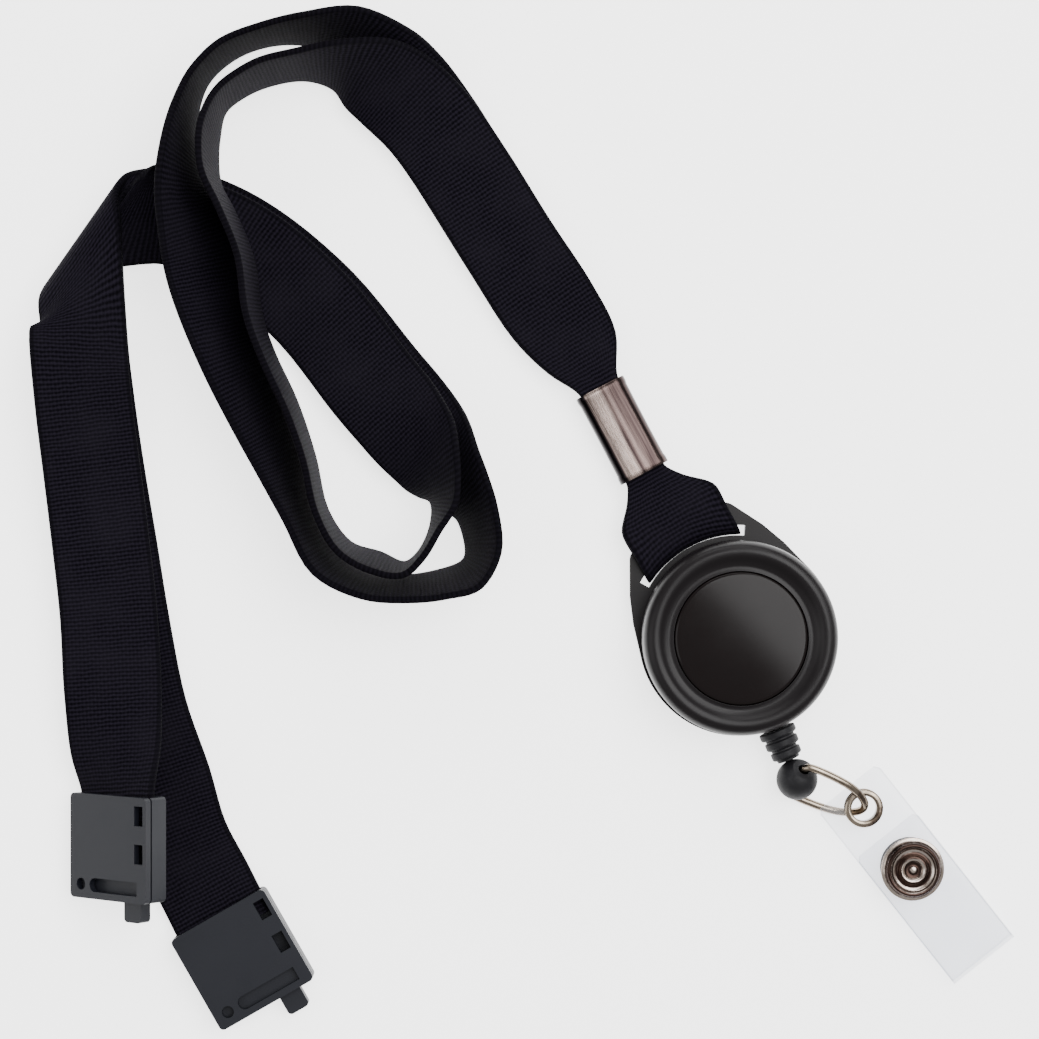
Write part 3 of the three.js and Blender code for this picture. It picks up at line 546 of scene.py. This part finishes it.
def tape_keys(stations):
    """Each station's point and its direction across the tape, as long as the tape is wide there."""
    points = [Vector(station[:3]) for station in stations]
    keys = []
    for i, (point, station) in enumerate(zip(points, stations)):
        if len(station) == 5:
            flat = math.radians(station[4])
            across = Vector((math.cos(flat), math.sin(flat), math.tan(math.radians(station[3]))))
            across.length = TAPE_WIDTH * FOLD_STRETCH
        else:
            travel = (points[min(i + 1, len(points) - 1)] - points[max(i - 1, 0)]).normalized()
            right = Vector((travel.y, -travel.x, 0)).normalized()
            up = right.cross(travel)
            roll = math.radians(station[3])
            across = right * math.cos(roll) + up * math.sin(roll)
            spread = smoothstep((point - points[0]).length, 3, GATHER_LENGTH)
            across *= GATHERED + (TAPE_WIDTH - GATHERED) * spread
        keys.append([*point, *across])
    return keys


TAPE_SECTION = [(-0.5, 0.0), (-0.497, 0.27), (-0.488, 0.43), (-0.46, 0.50)]


def tape(name, keys, matrix, body, nodes, per_span=5, columns=14, bend=Vector):
    """The woven tape swept along smooth stations, with rolled edges and a UV map in millimetres."""
    rows = spline(keys, per_span)
    centres = [Vector(row[:3]) for row in rows]
    top = [(u, v) for u, v in TAPE_SECTION]
    top += [(-0.46 + 0.92 * k / columns, 0.5) for k in range(1, columns)]
    top += [(-u, v) for u, v in reversed(TAPE_SECTION)]
    section = top + [(u, -v) for u, v in reversed(top[1:-1])]
    count, verts, uvs, run = len(section), [], [], 0.0
    for i, (centre, row) in enumerate(zip(centres, rows)):
        travel = (centres[min(i + 1, len(rows) - 1)] - centres[max(i - 1, 0)]).normalized()
        across = Vector(row[3:6])
        face = travel.cross(across).normalized()
        if i:
            run += (centre - centres[i - 1]).length
        for u, v in section:
            verts.append(bend(centre + across * u + face * (v * TAPE_THICK)))
            uvs.append(((u + 0.5) * TAPE_WIDTH, run))
    faces = skin(len(rows), count)
    faces.append(list(range(count)))
    faces.append([len(verts) - 1 - k for k in range(count)])
    obj = piece(name, verts, faces, matrix, "strap_weave", body, nodes, uvs, sharp=60)
    return obj, [matrix @ centre for centre in centres], run * MM


for number, stations in ((1, STRAND_1), (2, STRAND_2)):
    strand, route, run = tape(f"strap_tape_{number}", tape_keys(stations), ROW, "lanyard",
                              [f"strap_strand_{number}"])

BAR_MIDDLE = 19.7                            # of the eye's outer bar, from the reel's axis
MOUTH = 10.9                                 # of the crimp, above the bar
LOOP_WIDTH, LOOP_OPENS, MOUTH_ASIDE = 17.4, 7, -0.55
SLOT_RADIUS, SLOT_DEEP = 17.5, 0.08
loop_keys = []
for along, height in LOOP_ALONG:
    wide = GATHERED + (LOOP_WIDTH - GATHERED) * smoothstep(MOUTH - along, 0, LOOP_OPENS)
    aside = MOUTH_ASIDE * smoothstep(along, 4, MOUTH)
    loop_keys.append([aside, BAR_MIDDLE + along, height, wide, 0.0, 0.0])


def round_the_slot(point):
    """Near the bar the loop bends round with the curved slot."""
    bend = 1 - smoothstep(point.y, 18.6, 24)
    sagitta = SLOT_RADIUS - math.sqrt(SLOT_RADIUS ** 2 - point.x ** 2)
    return Vector((point.x, point.y - bend * (SLOT_DEEP + sagitta), point.z))


loop, _, loop_run = tape("strap_loop_tape", loop_keys, REEL, "lanyard", ["strap_loop"],
                         bend=round_the_slot)

# ------------------------------------------------------------------ crimp sleeve
CRIMP_SIZE = {"length": 16.0, "width": 8.8, "height": 5.0}


def capsule(width, height, corner, steps=7):
    """Outline of a rounded bar's section, about its middle."""
    x, z = width / 2 - corner, height / 2 - corner
    return [(sx * x + corner * math.cos(a), sz * z + corner * math.sin(a))
            for sx, sz, start in ((1, 1, 0), (-1, 1, 90), (-1, -1, 180), (1, -1, 270))
            for a in (math.radians(start + 90 * k / steps) for k in range(steps + 1))]


def crimp():
    length, width, height = (CRIMP_SIZE[k] for k in ("length", "width", "height"))
    half = length / 2
    # Distance along, and how far the surface stands in from the outer section.
    stations = [(-half + 0.30, 0.50), (-half, 0.42), (-half, 0.10), (-half + 0.14, 0.0), (-half + 0.9, 0.0),
                (-half + 1.5, 0.12), (-2.0, 0.16), (2.0, 0.16), (half - 1.5, 0.12), (half - 0.9, 0.0),
                (half - 0.14, 0.0), (half, 0.10), (half, 0.42), (half - 0.30, 0.50)]
    verts, uvs = [], []
    for along, inset in stations:
        outline = capsule(width - 2 * inset, height - 2 * inset, height * 0.44 - inset)
        verts += [(x, along, z + height / 2) for x, z in outline]
        uvs += [(x, along) for x, z in outline]
    faces = skin(len(stations), len(verts) // len(stations), closed=True)
    return piece("crimp_shell", verts, faces, CRIMP, "crimp_metal", "lanyard", ["crimp_sleeve"], uvs,
                 sharp=50)


crimp()

# ------------------------------------------------------------------ reel
CASE_RADIUS, CASE_TOP = 16.0, 11.4
DISC_RADIUS, DOME_RADIUS, DOME_TOP, DOME_DROP = 10.85, 10.45, 11.16, 0.34
BOX_FACES = [(0, 1, 3, 2), (4, 6, 7, 5), (0, 4, 5, 1), (2, 3, 7, 6), (0, 2, 6, 4), (1, 5, 7, 3)]


def front_cover():
    r, top, low = CASE_RADIUS, CASE_TOP, 3.7
    profile = [
        (r - 1.3, low), (r - 0.25, low), (r, low + 0.4), (r, top - 2.4), (r - 0.2, top - 1.25),
        (r - 0.75, top - 0.4), (r - 1.7, top), (r - 2.6, top - 0.15), (r - 3.4, top - 0.7),
        (r - 4.2, top - 0.95), (11.4, top - 0.92), (11.0, top - 0.80), (10.97, top - 0.95),
        (10.97, top - 1.9), (0.8, top - 1.9), (0.8, top - 2.9), (12.4, top - 2.9), (r - 1.3, top - 3.4)]
    cover = turned("reel_cover", profile, REEL, "case_plastic", None, ["front_case"],
                   fillet=0.5, sides=160)
    angle = math.radians(CORD_TURN - REEL_TURN)
    out = Vector((math.cos(angle), math.sin(angle), 0))
    verts = [out * (CASE_RADIUS + dx) + Vector((-out.y, out.x, 0)) * dy + Vector((0, 0, 4.0 + dz))
             for dx in (-3, 3) for dy in (-0.95, 0.95) for dz in (-1.2, 1.2)]
    notch = piece("notch", verts, BOX_FACES, REEL, "case_plastic")
    carve(cover, [notch])
    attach(cover, "lanyard")


front_cover()
dome = [(DOME_RADIUS * k / 10, DOME_TOP - DOME_DROP * (k / 10) ** 2) for k in range(10, -1, -1)]
turned("face_plate", [(0, 9.8), (DISC_RADIUS, 9.8), (DISC_RADIUS, 10.5), (DISC_RADIUS - 0.1, 10.68), *dome],
       REEL, "face_plastic", "lanyard", ["face_disc"], fillet=0.35, sides=160)

# ------------------------------------------------------------------ cord, boot and ball
ALONG_CORD = CORD_LINE @ Matrix.Rotation(math.radians(90), 4, "Y")      # local Z runs out of the case


def boot():
    start, length, ribs = 17.05, 5.5, 3
    pitch = length / ribs
    profile = [(0.7, start)]
    for i in range(ribs):
        rib, foot = 3.1 - 0.28 * i, start + i * pitch
        profile += [(rib, foot), (rib, foot + 0.60 * pitch), (rib - 0.65, foot + 0.74 * pitch),
                    (rib - 0.65, foot + 0.94 * pitch)]
    profile[-1] = (1.9, start + length - 0.1)
    profile.append((0.7, start + length - 0.1))
    turned("boot", profile, ALONG_CORD, "stop_rubber", "cord_stop", ["strain_relief"],
           fillet=0.28, sides=64)


def ball():
    verts, faces = [], []
    radius, rings, sides = BALL_RADIUS, 40, 64
    for i in range(rings + 1):
        a = math.pi * i / rings
        out, height = radius * math.sin(a), radius * math.cos(a)
        ring = [(out * math.cos(b), out * math.sin(b), height)
                for b in (2 * math.pi * k / sides for k in range(sides))]
        verts += ring if 0 < i < rings else [ring[0]]

    def first(ring):
        return 0 if ring == 0 else 1 + (ring - 1) * sides

    for k in range(sides):
        n = (k + 1) % sides
        faces.append((0, first(1) + k, first(1) + n))
        faces.append((len(verts) - 1, first(rings - 1) + n, first(rings - 1) + k))
        faces += [(first(i) + k, first(i + 1) + k, first(i + 1) + n, first(i) + n)
                  for i in range(1, rings - 1)]
    stop = piece("stop_ball", verts, faces, BAIL, "stop_rubber", None, ["stopper_ball"])
    across = [Vector((0, y, 0)) for y in (-5, 0, 5)]
    hole = piece("hole", *tube(across, BALL_HOLE, 32), BAIL, "stop_rubber")
    ends = [piece(f"end{side}", [(x * 5, side * (BALL_FLAT + y * 3), z * 5)
                                 for x in (-1, 1) for y in (0, 1) for z in (-1, 1)],
                  BOX_FACES, BAIL, "stop_rubber") for side in (-1, 1)]
    carve(stop, [hole, *ends])
    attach(stop, "cord_stop")


boot()
ball()

# The cord between the case and the boot.
drawn = [Vector((14.4 + 0.35 * k, 0, 0)) for k in range(10)]
drawn_cord = piece("drawn_cord", *tube(drawn, 0.4, 16), CORD_LINE, "cord_thread")
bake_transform(drawn_cord)


# ------------------------------------------------------------------ wire bail
def bail():
    half, corner, split = 3.9, 1.2, 0.25
    route = [(0, split), (0, half - corner), (0.35, half - 0.35), (corner, half),
             (BAIL_REACH * 0.45, half), (BAIL_REACH * 0.7, half * 0.86), (BAIL_REACH * 0.87, half * 0.6),
             (BAIL_REACH * 0.97, half * 0.3), (BAIL_REACH, 0)]
    route += [(x, -y) for x, y in reversed(route[:-1])]
    points = [Vector(row) for row in spline([[x, y, 0.0] for x, y in route], 8)]
    piece("bail_wire", *tube(points, BAIL_WIRE, 24), BAIL, "antique_nickel", "bail", ["wire_bail"], sharp=50)


bail()

# ------------------------------------------------------------------ clip
STRIP = {"width": 12.6, "head": 4.4, "end": 32.3, "front_top": 5.4, "sheet": 0.5, "space": 1.7}


def vinyl_strip():
    """One strip of vinyl: the back leg, the fold at the lower end and the front leg."""
    sheet, bend = STRIP["sheet"], (STRIP["space"] + STRIP["sheet"]) / 2
    turn = -(STRIP["end"] - bend - sheet / 2)
    middle = [(STRIP["head"] - 0.02 - (STRIP["head"] - turn) * k / 40, 0.0) for k in range(40)]
    middle += [(turn - bend * math.sin(a), bend - bend * math.cos(a))
               for a in (math.pi * k / 20 for k in range(21))]
    middle += [(turn + (-STRIP["front_top"] - turn) * k / 30, 2 * bend) for k in range(1, 31)]
    corner, verts, uvs, rows = 0.7, [], [], len(middle)
    half = STRIP["width"] / 2
    for i, (y, z) in enumerate(middle):
        a, b = middle[max(i - 1, 0)], middle[min(i + 1, rows - 1)]
        travel = Vector((0, b[0] - a[0], b[1] - a[1])).normalized()
        face = Vector((1, 0, 0)).cross(travel)
        end = min(abs(y - middle[0][0]) if i < 30 else 9, abs(y - middle[-1][0]) if i > rows - 20 else 9)
        inset = corner - math.sqrt(max(corner ** 2 - (corner - end) ** 2, 0)) if end < corner else 0
        for x, lift in ((-1, -1), (-0.5, -1), (0, -1), (0.5, -1), (1, -1),
                        (1, 1), (0.5, 1), (0, 1), (-0.5, 1), (-1, 1)):
            verts.append(Vector((x * (half - inset), y, z)) + face * (lift * sheet / 2))
            uvs.append((x * half, y))
    count = 10
    faces = skin(rows, count)
    faces += [list(range(count)), [len(verts) - 1 - k for k in range(count)]]
    strip = piece("vinyl_strip", verts, faces, CLIP, "clear_vinyl", None,
                  ["clip_back_leg", "clip_front_leg"], uvs, sharp=50)
    hole = piece("hole", *tube([Vector((0, 0, z)) for z in (-1, 0, 1)], 2.55, 48), CLIP, "clear_vinyl")
    carve(strip, [hole])
    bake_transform(strip)


vinyl_strip()


def eyelet():
    bore, flange, wall, lip, reach = 2.1, 3.25, 0.3, 0.3, 0.55
    profile = [(bore, 0), (bore, -reach - lip * 0.5), (bore + 0.35, -reach - lip),
               (flange - 0.25, -reach - lip + 0.05), (flange, -reach), (bore + wall, -reach + 0.02),
               (bore + wall, reach - 0.02), (flange, reach),
               (flange - 0.25, reach + lip - 0.05), (bore + 0.35, reach + lip), (bore, reach + lip * 0.5)]
    turned("eyelet_ring", profile, CLIP, "antique_nickel", "clip", ["eyelet"], fillet=0.16, sides=96)


def snap():
    at = CLIP @ Matrix.Translation((0, -SNAP_ALONG, 0))
    back, inner = 0.25, 1.95
    lid = inner + 0.5
    cap = [(0, lid + 0.15), (5.25, lid + 0.15), (5.25, lid + 0.40), (4.75, lid + 0.55), (4.5, lid + 0.75),
           (4.45, lid + 1.4), (4.15, lid + 1.7), (3.75, lid + 1.62), (3.45, lid + 1.15), (3.0, lid + 0.95),
           (2.6, lid + 1.05), (2.35, lid + 1.42), (2.0, lid + 1.55), (1.65, lid + 1.42), (1.35, lid + 1.05),
           (0.75, lid + 1.0), (0.45, lid + 1.18), (0, lid + 1.22)]
    front = turned("snap_front", cap, at, "antique_nickel", "flap", ["snap_cap"], fillet=0.16)
    front.data.materials[0] = LOOKS["snap_nickel"]
    socket = [(2.4, back + 0.85), (4.2, back + 0.85), (4.2, inner - 0.15), (2.4, inner - 0.15)]
    turned("snap_socket_ring", socket, at, "antique_nickel", "flap", ["snap_socket"], fillet=0.12)
    stud = [(0, back + 0.15), (4.2, back + 0.15), (4.2, back + 0.5), (1.9, back + 0.5), (2.0, back + 1.2),
            (1.5, back + 1.45), (0, back + 1.45)]
    turned("snap_stud_head", stud, at, "antique_nickel", "clip", ["snap_stud"], fillet=0.15)
    post = [(0, -back - 0.6), (4.4, -back - 0.6), (4.95, -back - 0.15), (0, -back - 0.15)]
    turned("snap_back", post, at, "antique_nickel", "clip", ["snap_post"], fillet=0.15)


eyelet()
snap()

# ------------------------------------------------------------------ CAD parts that stay
SOFTENED = {"clasp_1_base": 0.16, "clasp_1_cover": 0.16, "clasp_2_base": 0.16, "clasp_2_cover": 0.16,
            "rear_case": 0.25}
for name, node in frame["nodes"].items():
    if node.hide_render:
        continue
    slot = SLOT_OF[name]
    node.data.materials.clear()
    node.data.materials.append(LOOKS[slot])
    for polygon in node.data.polygons:
        polygon.use_smooth = True
    if name in SOFTENED:
        soften = node.modifiers.new("soften", "BEVEL")
        soften.width = SOFTENED[name] * MM
        soften.segments = 3
        soften.limit_method = "ANGLE"
        soften.angle_limit = math.radians(38)
        soften.harden_normals = True

# ------------------------------------------------------------------ table and light
table_mesh = bpy.data.meshes.new("table")
table_mesh.from_pydata([(-4, -4, 0), (4, -4, 0), (4, 4, 0), (-4, 4, 0)], [], [(0, 1, 2, 3)])
table = bpy.data.objects.new("table", table_mesh)
bpy.context.scene.collection.objects.link(table)
table_look = Look("table", Roughness=0.9)
speckle = table_look.noise(table_look.place(), 60.0, 3.0)
pale = table_look.mix(speckle, (0.93, 0.93, 0.93), (0.96, 0.96, 0.96))
table_look.set(table_look.shader, "Base Color", pale)
table_look.set(table_look.shader, "Emission Color", (1.0, 1.0, 1.0))
table_look.set(table_look.shader, "Emission Strength", 2.4)
table_mesh.materials.append(table_look.material)

world = bpy.data.worlds.new("studio")
world.use_nodes = True
world.node_tree.nodes["Background"].inputs["Color"].default_value = (1, 1, 1, 1)
world.node_tree.nodes["Background"].inputs["Strength"].default_value = 0.55
bpy.context.scene.world = world


def panel(name, at, size, power, turn=0.0):
    """A soft light facing the middle of the table."""
    data = bpy.data.lights.new(name, "AREA")
    data.shape = "RECTANGLE"
    data.size, data.size_y = size
    data.energy = power
    light = bpy.data.objects.new(name, data)
    light.location = at
    aim = (-Vector(at)).to_track_quat("-Z", "Y")
    light.rotation_euler = (aim @ Quaternion((0, 0, 1), math.radians(turn))).to_euler()
    bpy.context.scene.collection.objects.link(light)


panel("key", (0.388, 0.228, 0.90), (0.80, 0.80), 14.0, 15)
panel("fill", (-0.75, -0.10, 0.70), (0.50, 0.80), 2.5)
panel("back", (-0.05, 0.95, 0.55), (0.90, 0.35), 4.0)
